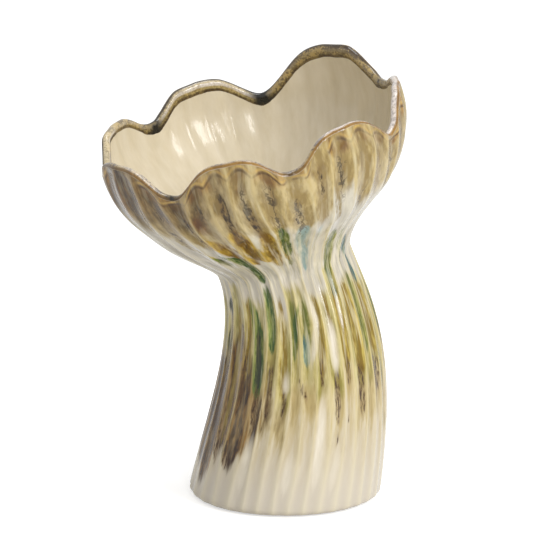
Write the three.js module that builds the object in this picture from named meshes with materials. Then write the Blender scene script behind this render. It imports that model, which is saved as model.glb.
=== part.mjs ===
// Stoneware vase: a leaning fluted stem that opens into a seven-lobed bowl, on four felt foot pads.
// Millimetres, +Z up, front towards -Y, standing at z = 0 under the middle of its own bounding box.
// The clay is one hollow wall. Its surface is a loft of rings along a bowed centre-line: the rings
// lie flat at the foot, tip over with the stem and stay square to the bowl's axis above the waist.
import * as THREE from 'three';

// Stem, from the clay foot up to the waist, the narrowest ring. Radii are on the ridges of the flutes.
const footRadius = 56.5;
const footRounding = 4;
const stemHeight = 138;
const waistRadius = 39.5;
const footTaper = 4.5;
const taperReach = 86;
const waistReach = 23;
const lowerBow = 8;
const upperBow = 17;

// Bowl, along its own axis from the waist
const bowlTipLeft = 13.7;
const bowlTipFront = 6.4;
const bellyRadius = 89.8;
const bellyHeight = 80;
const flareStart = 15;
const bellyRoundness = 43;
const lipTurnIn = 2.5;
const turnInReach = 20;
const underBowlSwing = 3;
const swingHeight = 44;

// Lobes round the rim, counter-clockwise from above. A lobe starts at the dip on its clockwise side:
// its span in degrees, its dip and crest as shares of the two heights, and how far the crest leans.
const dipHeight = 75;
const crestHeight = 91;
const firstDipAngle = -75;
const lobes = [
  { span: 50.5, dip: 1.01, crest: 0.99, lean: 0.06 },
  { span: 49.5, dip: 0.93, crest: 0.97, lean: 0 },
  { span: 62, dip: 1.07, crest: 1.09, lean: 0.07 },
  { span: 48, dip: 0.98, crest: 1, lean: -0.05 },
  { span: 45, dip: 1.05, crest: 1, lean: 0 },
  { span: 59, dip: 0.98, crest: 0.99, lean: -0.04 },
  { span: 46, dip: 0.98, crest: 0.99, lean: -0.02 },
];
const crestFlatness = 4;
const dipPinch = 1;

// Flutes, hollow grooves between sharp ridges that run from the foot to the lip. A dip has one in its middle.
// Round the waist they sway sideways, by a share of a lobe, between two stations along the wall.
const flutesPerLobe = 5;
const footFluteDepth = 0.8;
const waistFluteDepth = 1.5;
const bowlFluteDepth = 2.2;
const fluteSway = 0.12;
const swayStart = 0.6;
const swayEnd = 1.75;

// Wall, lip, floor and underside
const wallThickness = 5.2;
const floorThickness = 8;
const floorFillet = 9;
const footRingWidth = 13;
const recessDepth = 3;
const recessSlope = 3;

// Felt pads under the foot ring, set back from its outer edge so that the standing vase hides them
const padCount = 4;
const padDiameter = 8;
const padThickness = 1;
const padSetback = 4.2;
const firstPadAngle = 45;

// Facets
const pointsPerFlute = 4;
const stemRows = 8;
const bowlRows = 10;
const lipRows = 4;
const filletRows = 2;
const padSides = 32;

const up = new THREE.Vector3(0, 0, 1);
const footCentre = new THREE.Vector3(0, 0, padThickness);
const pointsPerLobe = flutesPerLobe * pointsPerFlute;
const pointsAround = lobes.length * pointsPerLobe;

const bowlAxis = new THREE.Vector3(
  -Math.tan(THREE.MathUtils.degToRad(bowlTipLeft)),
  -Math.tan(THREE.MathUtils.degToRad(bowlTipFront)),
  1,
).normalize();

const centreLine = new THREE.CubicBezierCurve3(
  footCentre,
  new THREE.Vector3(lowerBow, 0, footCentre.z + stemHeight / 3),
  new THREE.Vector3(upperBow, 0, footCentre.z + (stemHeight * 2) / 3),
  new THREE.Vector3(0, 0, footCentre.z + stemHeight),
);

// Wall profiles as radius against height: the stem tapers into the waist, the bowl flares out of it.
const stemProfile = new THREE.CubicBezierCurve(
  new THREE.Vector2(footRadius, 0),
  new THREE.Vector2(footRadius - footTaper, taperReach),
  new THREE.Vector2(waistRadius, stemHeight - waistReach),
  new THREE.Vector2(waistRadius, stemHeight),
);
const bowlProfile = new THREE.CubicBezierCurve(
  new THREE.Vector2(waistRadius, 0),
  new THREE.Vector2(waistRadius, flareStart),
  new THREE.Vector2(bellyRadius, bellyHeight - bellyRoundness),
  new THREE.Vector2(bellyRadius, bellyHeight),
);

function radiusAt(profile, height) {
  let low = 0;
  let high = 1;
  for (let step = 0; step < 40; step += 1) {
    const middle = (low + high) / 2;
    if (profile.getPoint(middle).y < height) low = middle;
    else high = middle;
  }
  return profile.getPoint((low + high) / 2).x;
}

// Places round the vase are counted in lobes: 0 is the first dip, 0.5 the first crest, 1 the next dip.
const spanTotal = lobes.reduce((sum, lobe) => sum + lobe.span, 0);
const dipAngles = [firstDipAngle];
for (const lobe of lobes) dipAngles.push(dipAngles.at(-1) + (lobe.span * 360) / spanTotal);

function placeOf(lobeCount) {
  const turn = ((lobeCount % lobes.length) + lobes.length) % lobes.length;
  const index = Math.min(Math.floor(turn), lobes.length - 1);
  const share = turn - index;
  const degrees = THREE.MathUtils.lerp(dipAngles[index], dipAngles[index + 1], share);
  return { index, share, angle: THREE.MathUtils.degToRad(degrees) };
}

function rimHeight({ index, share }) {
  const lobe = lobes[index];
  const next = lobes[(index + 1) % lobes.length];
  const leaning = share + lobe.lean * Math.sin(Math.PI * share) ** 2;
  const rise = 1 - Math.abs(Math.cos(Math.PI * leaning)) ** crestFlatness;
  const dip = dipHeight * THREE.MathUtils.lerp(lobe.dip, next.dip, leaning);
  return THREE.MathUtils.lerp(dip, crestHeight * lobe.crest, rise);
}

// A ring point, radius out from the centre in the plane that is square to the axis
function ringPoint(centre, axis, radius, angle) {
  const right = new THREE.Vector3(1, 0, 0).addScaledVector(axis, -axis.x).normalize();
  const back = new THREE.Vector3().crossVectors(axis, right);
  return centre.clone()
    .addScaledVector(right, radius * Math.cos(angle))
    .addScaledVector(back, radius * Math.sin(angle));
}

function stemPoint(share, place, inset) {
  const axis = up.clone().lerp(bowlAxis, THREE.MathUtils.smoothstep(share, 0, 1)).normalize();
  const radius = radiusAt(stemProfile, share * stemHeight) - inset;
  return ringPoint(centreLine.getPoint(share), axis, radius, place.angle);
}

function bowlPoint(share, place, inset) {
  const lowestDip = dipHeight * Math.min(...lobes.map((lobe) => lobe.dip));
  const height = lowestDip * share + (rimHeight(place) - lowestDip) * share ** 3;
  const swing = height < swingHeight ? underBowlSwing * Math.sin((Math.PI * height) / swingHeight) ** 2 : 0;
  const centre = centreLine.getPoint(1).addScaledVector(bowlAxis, height);
  centre.x -= swing;
  const turnIn = lipTurnIn * (Math.max(0, height - bellyHeight) / turnInReach) ** 2;
  const pinch = dipPinch * share ** 6 * Math.cos(Math.PI * place.share) ** 8;
  const radius = radiusAt(bowlProfile, Math.min(height, bellyHeight)) - turnIn - pinch - inset;
  return ringPoint(centre, bowlAxis, radius, place.angle);
}

// Stations run along the wall: 0 at the foot, 1 at the waist and 2 at the rim.
function smoothPoint(station, lobeCount, inset = 0) {
  const place = placeOf(lobeCount);
  return station <= 1 ? stemPoint(station, place, inset) : bowlPoint(station - 1, place, inset);
}

// Outward and upward directions of the smooth wall
function wallDirections(station, lobeCount) {
  const step = 1e-3;
  const low = Math.max(station - step, 0);
  const high = Math.min(station + step, 2);
  const along = smoothPoint(high, lobeCount).sub(smoothPoint(low, lobeCount)).normalize();
  const around = smoothPoint(station, lobeCount + step).sub(smoothPoint(station, lobeCount - step));
  const outward = new THREE.Vector3().crossVectors(around, along).normalize();
  return { outward, along };
}

function fluteDepth(station) {
  const stemShare = Math.min(station, 1);
  const bowlShare = Math.max(station - 1, 0);
  const stemDepth = THREE.MathUtils.lerp(footFluteDepth, waistFluteDepth, stemShare);
  return THREE.MathUtils.lerp(stemDepth, bowlFluteDepth, THREE.MathUtils.smoothstep(bowlShare, 0, 0.6));
}

// How deep a point of the ring lies in its flute: 0 on a ridge and 1 at the bottom
function groove(lobeCount) {
  return Math.abs(Math.cos(Math.PI * flutesPerLobe * lobeCount));
}

function sway(station) {
  const share = THREE.MathUtils.clamp((station - swayStart) / (swayEnd - swayStart), 0, 1);
  return fluteSway * Math.sin(Math.PI * share) ** 2;
}

function outerPoint(station, lobeCount) {
  return smoothPoint(station, lobeCount + sway(station), fluteDepth(station) * groove(lobeCount));
}

function innerPoint(station, lobeCount) {
  const { outward } = wallDirections(station, lobeCount);
  return smoothPoint(station, lobeCount).addScaledVector(outward, -wallThickness);
}

// The lip is a half round over the top of the wall: turn 0 is its outer edge and turn 1 its inner edge.
function lipPoint(turn, lobeCount) {
  const { outward, along } = wallDirections(2, lobeCount);
  const outer = outerPoint(2, lobeCount);
  const inner = innerPoint(2, lobeCount);
  const middle = outer.clone().lerp(inner, 0.5);
  const half = outer.distanceTo(inner) / 2;
  return middle
    .addScaledVector(outward, half * Math.cos(Math.PI * turn))
    .addScaledVector(along, half * Math.sin(Math.PI * turn));
}

function ring(pointAt) {
  return Array.from({ length: pointsAround }, (_, index) => pointAt(index / pointsPerLobe));
}

function flatRing(radius, height) {
  return ring((lobeCount) => ringPoint(new THREE.Vector3(0, 0, height), up, radius, placeOf(lobeCount).angle));
}

// Underside: a flat ring that stands on the pads round a shallow recess
function undersideRings() {
  const ringOuter = footRadius - footRounding;
  const ringInner = ringOuter - footRingWidth;
  return [
    flatRing(ringInner - recessSlope, footCentre.z + recessDepth),
    flatRing(ringInner, footCentre.z),
    flatRing(ringOuter, footCentre.z),
  ];
}

// The foot's outer edge is a quarter round that ends on the fluted wall.
function footEdgeRings() {
  const edgeStation = footRounding / stemHeight;
  return [0.5].map((turn) => ring((lobeCount) => {
    const wall = outerPoint(edgeStation, lobeCount);
    const inward = footRounding * (1 - Math.sin((Math.PI / 2) * turn));
    const rise = footRounding * (1 - Math.cos((Math.PI / 2) * turn));
    const shrink = 1 - inward / Math.hypot(wall.x, wall.y);
    return new THREE.Vector3(wall.x * shrink, wall.y * shrink, footCentre.z + rise);
  }));
}

function outerRings() {
  const first = footRounding / stemHeight;
  const rings = [];
  for (let row = 0; row <= stemRows; row += 1) {
    const station = THREE.MathUtils.lerp(first, 1, row / stemRows);
    rings.push(ring((lobeCount) => outerPoint(station, lobeCount)));
  }
  for (let row = 1; row <= bowlRows; row += 1) {
    rings.push(ring((lobeCount) => outerPoint(1 + row / bowlRows, lobeCount)));
  }
  return rings;
}

function lipRings() {
  const rings = [];
  for (let row = 1; row < lipRows; row += 1) {
    rings.push(ring((lobeCount) => lipPoint(row / lipRows, lobeCount)));
  }
  return rings;
}

// Inside: down the bowl and the stem, then round a fillet to the flat floor
function innerRings() {
  const rings = [];
  for (let row = bowlRows; row > 0; row -= 2) {
    rings.push(ring((lobeCount) => innerPoint(1 + row / bowlRows, lobeCount)));
  }
  const filletTop = (floorThickness + floorFillet) / stemHeight;
  const innerStemRows = Math.round(stemRows / 2);
  for (let row = 0; row <= innerStemRows; row += 1) {
    const station = THREE.MathUtils.lerp(1, filletTop, row / innerStemRows);
    rings.push(ring((lobeCount) => innerPoint(station, lobeCount)));
  }
  const floorHeight = footCentre.z + floorThickness;
  for (let row = 1; row <= filletRows; row += 1) {
    const turn = (Math.PI / 2) * (row / filletRows);
    rings.push(ring((lobeCount) => {
      const wall = innerPoint(filletTop, lobeCount);
      const shrink = 1 - (floorFillet * (1 - Math.cos(turn))) / Math.hypot(wall.x, wall.y);
      const height = floorHeight + (wall.z - floorHeight) * (1 - Math.sin(turn));
      return new THREE.Vector3(wall.x * shrink, wall.y * shrink, height);
    }));
  }
  return rings;
}

// One closed skin: a fan on the first ring, a band between neighbouring rings and a fan on the last
function skinGeometry(rings, startCentre, endCentre) {
  const positions = [startCentre, ...rings.flat(), endCentre].flatMap((point) => point.toArray());
  const indices = [];
  const at = (row, column) => 1 + row * pointsAround + (column % pointsAround);
  const last = rings.length - 1;
  const endIndex = 1 + rings.length * pointsAround;
  for (let column = 0; column < pointsAround; column += 1) {
    indices.push(0, at(0, column + 1), at(0, column));
    for (let row = 0; row < last; row += 1) {
      indices.push(at(row, column), at(row, column + 1), at(row + 1, column + 1));
      indices.push(at(row, column), at(row + 1, column + 1), at(row + 1, column));
    }
    indices.push(at(last, column), at(last, column + 1), endIndex);
  }
  const geometry = new THREE.BufferGeometry();
  geometry.setAttribute('position', new THREE.Float32BufferAttribute(positions, 3));
  geometry.setIndex(indices);
  geometry.computeVertexNormals();
  return geometry;
}

function makeVaseBody() {
  const rings = [
    ...undersideRings(),
    ...footEdgeRings(),
    ...outerRings(),
    ...lipRings(),
    ...innerRings(),
  ];
  const recessCentre = new THREE.Vector3(0, 0, footCentre.z + recessDepth);
  const floorCentre = new THREE.Vector3(0, 0, footCentre.z + floorThickness);
  const glazedStoneware = new THREE.MeshStandardMaterial({ color: 0xb39c72, roughness: 0.16, metalness: 0 });
  const body = new THREE.Mesh(skinGeometry(rings, recessCentre, floorCentre), glazedStoneware);
  body.name = 'vase_body';
  return body;
}

function makeFootPad(index) {
  const felt = new THREE.MeshStandardMaterial({ color: 0xcfc6b4, roughness: 0.95, metalness: 0 });
  const pad = new THREE.Mesh(
    new THREE.CylinderGeometry(padDiameter / 2, padDiameter / 2, padThickness, padSides),
    felt,
  );
  const seatRadius = footRadius - footRounding - padSetback - padDiameter / 2;
  const angle = THREE.MathUtils.degToRad(firstPadAngle + (index * 360) / padCount);
  pad.rotation.x = Math.PI / 2;
  pad.position.set(seatRadius * Math.cos(angle), seatRadius * Math.sin(angle), padThickness / 2);
  pad.name = `foot_pad_${index + 1}`;
  return pad;
}

const vase = new THREE.Group();
vase.add(makeVaseBody());
for (let index = 0; index < padCount; index += 1) vase.add(makeFootPad(index));

// The bounding box's middle goes over the origin, and the pads stay on z = 0.
const box = new THREE.Box3().setFromObject(vase, true);
const middle = box.getCenter(new THREE.Vector3());
vase.position.set(-middle.x, -middle.y, 0);
vase.updateMatrixWorld(true);

export default vase;
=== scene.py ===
import math
from functools import partial

import bpy
import numpy as np
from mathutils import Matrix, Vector


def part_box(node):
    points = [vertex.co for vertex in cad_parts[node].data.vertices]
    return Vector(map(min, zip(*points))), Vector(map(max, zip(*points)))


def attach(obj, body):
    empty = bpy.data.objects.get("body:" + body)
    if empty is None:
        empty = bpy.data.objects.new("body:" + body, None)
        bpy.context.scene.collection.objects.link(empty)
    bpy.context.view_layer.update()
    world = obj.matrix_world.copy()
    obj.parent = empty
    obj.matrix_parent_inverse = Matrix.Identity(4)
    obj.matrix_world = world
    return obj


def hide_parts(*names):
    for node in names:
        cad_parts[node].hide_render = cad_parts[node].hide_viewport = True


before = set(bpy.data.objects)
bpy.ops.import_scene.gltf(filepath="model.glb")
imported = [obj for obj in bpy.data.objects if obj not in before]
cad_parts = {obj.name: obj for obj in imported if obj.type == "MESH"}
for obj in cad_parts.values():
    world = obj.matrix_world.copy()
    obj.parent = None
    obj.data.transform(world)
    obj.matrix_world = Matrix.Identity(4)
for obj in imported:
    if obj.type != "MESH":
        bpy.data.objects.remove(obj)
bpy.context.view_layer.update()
print("vase: frame loaded")


# Adds a node, sets it up and links what feeds it. Gives back one output, or all of them for None.
def addNode(tree, kind, inputs=None, output=0, **settings):
    node = tree.nodes.new(kind)
    for name, value in settings.items():
        setattr(node, name, value)
    for key, value in (inputs or {}).items():
        if isinstance(value, bpy.types.NodeSocket):
            tree.links.new(value, node.inputs[key])
        else:
            node.inputs[key].default_value = value
    return node.outputs if output is None else node.outputs[output]


def addObject(name, data):
    added = bpy.data.objects.new(name, data)
    bpy.context.scene.collection.objects.link(added)
    return added


def hexColour(text):
    channels = [int(text[index:index + 2], 16) / 255 for index in (1, 3, 5)]
    return [c / 12.92 if c <= 0.04045 else ((c + 0.055) / 1.055) ** 2.4 for c in channels] + [1.0]


def unit(vectors):
    return vectors / np.linalg.norm(vectors, axis=-1, keepdims=True)


def smoothStep(low, high, value):
    share = np.clip((value - low) / (high - low), 0, 1)
    return share * share * (3 - 2 * share)


# An empty material or world, and the function that adds a node to it
def startShading(kind, name):
    shading = getattr(bpy.data, kind).new(name)
    shading.use_nodes = True
    shading.node_tree.nodes.clear()
    return shading, partial(addNode, shading.node_tree)


# A geometry tree with a named input for each setting, the function that adds a node to it, and what
# its inputs give
def startTree(name, settings):
    tree = bpy.data.node_groups.new(name, "GeometryNodeTree")
    tree.interface.new_socket("Geometry", in_out="INPUT", socket_type="NodeSocketGeometry")
    for key, value in settings.items():
        kind = "NodeSocketInt" if isinstance(value, int) else "NodeSocketFloat"
        tree.interface.new_socket(key, in_out="INPUT", socket_type=kind).default_value = value
    tree.interface.new_socket("Geometry", in_out="OUTPUT", socket_type="NodeSocketGeometry")
    add = partial(addNode, tree)
    return tree, add, add("NodeGroupInput", {}, None)


# The middle of the foot ring and the height of its clay, taken from the four pads under it
padBoxes = [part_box(f"foot_pad_{number}") for number in (1, 2, 3, 4)]
footX = sum(low.x + high.x for low, high in padBoxes) / (2 * len(padBoxes))
footY = sum(low.y + high.y for low, high in padBoxes) / (2 * len(padBoxes))
clayFoot = max(high.z for low, high in padBoxes)
padSeatRadius = math.hypot(padBoxes[0][0].x + padBoxes[0][1].x - 2 * footX,
                           padBoxes[0][0].y + padBoxes[0][1].y - 2 * footY) / 2

# Millimetres; the same shape as the clay node, with many more points
vase = {
    "footRadius": 56.5, "footTaper": 4.5, "taperReach": 86, "waistRadius": 39.5, "waistReach": 23,
    "stemHeight": 138, "lowerBow": 8, "upperBow": 17,
    "bowlTipLeft": 13.7, "bowlTipFront": 6.4,
    "bellyRadius": 89.8, "bellyHeight": 80, "flareStart": 15, "bellyRoundness": 43,
    "lipTurnIn": 2.5, "turnInReach": 20, "underBowlSwing": 3, "swingHeight": 44,
    "dipHeight": 75, "crestHeight": 91, "firstDipAngle": -75,
    "spans": (50.5, 49.5, 62, 48, 45, 59, 46),
    "dips": (1.01, 0.93, 1.07, 0.98, 1.05, 0.98, 0.98),
    "crests": (0.99, 0.97, 1.09, 1.0, 1.0, 0.99, 0.99),
    "leans": (0.06, 0, 0.07, -0.05, 0, -0.04, -0.02),
    "crestFlatness": 4, "dipPinch": 1,
    "footFlute": 0.8, "waistFlute": 1.5, "bowlFlute": 2.2, "innerFlute": 0.7, "lipEase": 0.65,
    "fluteSway": 0.12, "swayStart": 0.6, "swayEnd": 1.75,
    "wallThickness": 5.2, "floorThickness": 8, "floorFillet": 9,
    "footRounding": 4, "footRingWidth": 13, "recessDepth": 3, "recessSlope": 3, "ringBevel": 0.8,
    "pointsPerFlute": 12, "stemRows": 58, "bowlRows": 62, "lipRows": 14,
    "tubeRadius": 45,  # the wall's textures lie on a tube with about the vase's mean radius
}
flutesPerLobe = 5
lobeTotal = len(vase["spans"])


def bezier(points, share):
    points = [np.asarray(point, float) for point in points]
    share = np.asarray(share, float)[..., None]
    while len(points) > 1:
        points = [a + (b - a) * share for a, b in zip(points, points[1:])]
    return points[0]


profileShares = np.linspace(0, 1, 1500)
stemProfile = bezier([(vase["footRadius"], 0),
                      (vase["footRadius"] - vase["footTaper"], vase["taperReach"]),
                      (vase["waistRadius"], vase["stemHeight"] - vase["waistReach"]),
                      (vase["waistRadius"], vase["stemHeight"])], profileShares)
bowlProfile = bezier([(vase["waistRadius"], 0), (vase["waistRadius"], vase["flareStart"]),
                      (vase["bellyRadius"], vase["bellyHeight"] - vase["bellyRoundness"]),
                      (vase["bellyRadius"], vase["bellyHeight"])], profileShares)
centreLine = [(0, 0, 0), (vase["lowerBow"], 0, vase["stemHeight"] / 3),
              (vase["upperBow"], 0, vase["stemHeight"] * 2 / 3), (0, 0, vase["stemHeight"])]
bowlAxis = unit([-math.tan(math.radians(vase["bowlTipLeft"])),
                 -math.tan(math.radians(vase["bowlTipFront"])), 1])
spans = np.array(vase["spans"], float)
dipAngles = vase["firstDipAngle"] + np.concatenate(([0], np.cumsum(spans))) * 360 / spans.sum()
dips = vase["dipHeight"] * np.array(vase["dips"])
crests = vase["crestHeight"] * np.array(vase["crests"])
leans = np.array(vase["leans"])


# For places in lobes: which lobe, how far through it, and the angle round the vase
def placeOf(around):
    turn = np.mod(around, lobeTotal)
    index = np.minimum(turn.astype(int), lobeTotal - 1)
    share = turn - index
    angle = np.radians(dipAngles[index] + (dipAngles[index + 1] - dipAngles[index]) * share)
    return index, share, angle


# Outer wall before its flutes, in mm from the middle of the foot. around counts lobes: 0 is the first
# dip and 0.5 the first crest. station runs up the wall: 0 foot, 1 waist, 2 rim.
def smoothWall(around, station):
    around, station = np.broadcast_arrays(np.asarray(around, float), np.asarray(station, float))
    index, share, angle = placeOf(around)
    stem = np.clip(station, 0, 1)
    bowl = np.clip(station - 1, 0, 1)
    lean = share + leans[index] * np.sin(np.pi * share) ** 2
    rise = 1 - np.abs(np.cos(np.pi * lean)) ** vase["crestFlatness"]
    dip = dips[index] * (1 - lean) + dips[(index + 1) % lobeTotal] * lean
    rim = dip + (crests[index] - dip) * rise
    lowest = dips.min()
    height = lowest * bowl + (rim - lowest) * bowl ** 3
    swing = np.where(height < vase["swingHeight"],
                     vase["underBowlSwing"] * np.sin(np.pi * height / vase["swingHeight"]) ** 2, 0)
    turnIn = vase["lipTurnIn"] * (np.maximum(0, height - vase["bellyHeight"]) / vase["turnInReach"]) ** 2
    pinch = vase["dipPinch"] * bowl ** 6 * np.cos(np.pi * share) ** 8
    bowlRadius = np.interp(np.minimum(height, vase["bellyHeight"]), bowlProfile[:, 1], bowlProfile[:, 0])
    stemRadius = np.interp(stem * vase["stemHeight"], stemProfile[:, 1], stemProfile[:, 0])
    onStem = station <= 1
    radius = np.where(onStem, stemRadius, bowlRadius - turnIn - pinch)
    tip = (stem * stem * (3 - 2 * stem))[..., None]
    axis = unit(np.array([0, 0, 1.0]) * (1 - tip) + bowlAxis * tip)
    centre = bezier(centreLine, stem) + np.where(onStem, 0, height)[..., None] * bowlAxis
    centre[..., 0] -= np.where(onStem, 0, swing)
    right = unit(np.array([1.0, 0, 0]) - axis * axis[..., :1])
    back = np.cross(axis, right)
    outward = right * np.cos(angle)[..., None] + back * np.sin(angle)[..., None]
    return centre + outward * radius[..., None], outward


def wallDirections(around, station):
    step = 1e-3
    low, high = np.maximum(station - step, 0), np.minimum(station + step, 2)
    along = unit(smoothWall(around, high)[0] - smoothWall(around, low)[0])
    across = smoothWall(around + step, station)[0] - smoothWall(around - step, station)[0]
    return unit(np.cross(across, along)), along


def sway(station):
    share = np.clip((station - vase["swayStart"]) / (vase["swayEnd"] - vase["swayStart"]), 0, 1)
    return vase["fluteSway"] * np.sin(np.pi * share) ** 2


# No two flutes of a hand-finished model run quite alike: each wanders by up to a twentieth of a lobe.
def wander(around, station):
    turn = 2 * np.pi * around / lobeTotal
    slow = np.sin(3 * turn + 2.6 * station + 0.7) + 0.7 * np.sin(5 * turn - 4.1 * station + 2.1)
    quick = 1.1 * np.sin(11 * turn + 5.3 * station + 4.0) + 1.2 * np.sin(17 * turn - 4.2 * station)
    return 0.011 * (slow + quick) * smoothStep(0, 0.3, station) * (1 - smoothStep(1.85, 2, station))


def fluteDepth(station):
    low = vase["footFlute"] + (vase["waistFlute"] - vase["footFlute"]) * np.minimum(station, 1)
    deep = low + (vase["bowlFlute"] - low) * smoothStep(0, 0.6, np.maximum(station - 1, 0))
    return deep * (1 - vase["lipEase"] * smoothStep(1.965, 2, station))


columns = lobeTotal * flutesPerLobe * vase["pointsPerFlute"]
ringAround = np.arange(columns) / (flutesPerLobe * vase["pointsPerFlute"])
ringAngle = placeOf(ringAround)[2]
rows = []  # one dictionary of arrays for each ring of points, from the recess under the foot to the floor


def addRow(point, flute, around, station, turn, glazed):
    full = np.ones(columns)
    rows.append({"point": point, "flute": flute, "around": around * full, "station": station * full,
                 "turn": turn * full, "glazed": glazed * full})


def addUnderside():
    bevel = vase["ringBevel"]
    ringOuter = vase["footRadius"] - vase["footRounding"] - bevel / 2
    ringInner = ringOuter - vase["footRingWidth"]
    recess = ringInner - vase["recessSlope"]
    flat = np.stack([np.cos(ringAngle), np.sin(ringAngle), 0 * ringAngle], -1)
    for radius, height in ((recess - 0.6, vase["recessDepth"]), (recess, vase["recessDepth"]),
                           (ringInner - bevel, bevel), (ringInner, 0.15), (ringInner + bevel, 0),
                           (ringOuter - bevel, 0)):
        point = flat * radius
        point[:, 2] = height
        addRow(point, 0 * flat, ringAround, 0, 0, 0)


# A ring of the wall drawn in towards its middle, level at one height
def drawIn(wall, inward, height):
    point = wall * (1 - inward / np.hypot(wall[:, 0], wall[:, 1]))[:, None]
    point[:, 2] = height
    return point


def addFootEdge():
    rounding = vase["footRounding"]
    station = rounding / vase["stemHeight"]
    wall, outward = smoothWall(ringAround, station)
    for turn in np.linspace(0, 1, 7)[:-1]:
        point = drawIn(wall, rounding * (1 - math.sin(math.pi / 2 * turn)),
                       rounding * (1 - math.cos(math.pi / 2 * turn)))
        flute = -outward * vase["footFlute"] * (0.4 + 0.6 * turn)
        addRow(point, flute, ringAround, station * turn, 0, min(1, turn * 3))


def addOuterWall():
    first = vase["footRounding"] / vase["stemHeight"]
    stations = np.concatenate([np.linspace(first, 1, vase["stemRows"]),
                               np.linspace(1, 2, vase["bowlRows"] + 1)[1:]])
    for station in stations:
        around = ringAround + sway(station) + wander(ringAround, station)
        point, outward = smoothWall(around, station)
        addRow(point, -outward * fluteDepth(station), around, station, 0, 1)


def innerWall(station):
    point = smoothWall(ringAround, station)[0]
    outward = wallDirections(ringAround, station)[0]
    fluted = smoothStep(0.1, 0.5, np.asarray(station, float))
    return point - outward * vase["wallThickness"], -outward * vase["innerFlute"] * fluted


def addLip():
    outward, along = wallDirections(ringAround, 2)
    outerPoint, outerOut = smoothWall(ringAround, 2)
    innerPoint, innerFlute = innerWall(2)
    outerFlute = -outerOut * fluteDepth(2)
    half = vase["wallThickness"] / 2
    thinner = (fluteDepth(2) - vase["innerFlute"]) / 2
    for turn in np.linspace(0, 1, vase["lipRows"] + 2)[1:-1]:
        over = outward * math.cos(math.pi * turn) + along * math.sin(math.pi * turn)
        point = (outerPoint + innerPoint) / 2 + over * half
        addRow(point, (outerFlute + innerFlute) / 2 - over * thinner, ringAround, 2, turn, 1)


def addInnerWall():
    filletTop = (vase["floorThickness"] + vase["floorFillet"]) / vase["stemHeight"]
    stations = np.concatenate([np.linspace(2, 1.85, 12), np.linspace(1.85, 1, 30)[1:],
                               np.linspace(1, filletTop, 22)[1:]])
    below = np.zeros(columns)  # how far under the lip, in mm
    last = innerWall(2)[0]
    for station in stations:
        point, flute = innerWall(station)
        below = below + np.linalg.norm(point - last, axis=-1)
        addRow(point, flute, ringAround, station, 1 + below / 10, 1)
        last = point
    wall = innerWall(filletTop)[0]
    for turn in np.linspace(0, 1, 6)[1:]:
        rise = 1 - math.sin(math.pi / 2 * turn)
        point = drawIn(wall, vase["floorFillet"] * (1 - math.cos(math.pi / 2 * turn)),
                       vase["floorThickness"] + (wall[:, 2] - vase["floorThickness"]) * rise)
        addRow(point, 0 * point, ringAround, 0, 9, 1)
    floorRing = rows[-1]["point"]
    for share in (0.9, 0.5):
        point = floorRing * share
        point[:, 2] = vase["floorThickness"]
        addRow(point, 0 * point, ringAround, 0, 9, 1)


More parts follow.
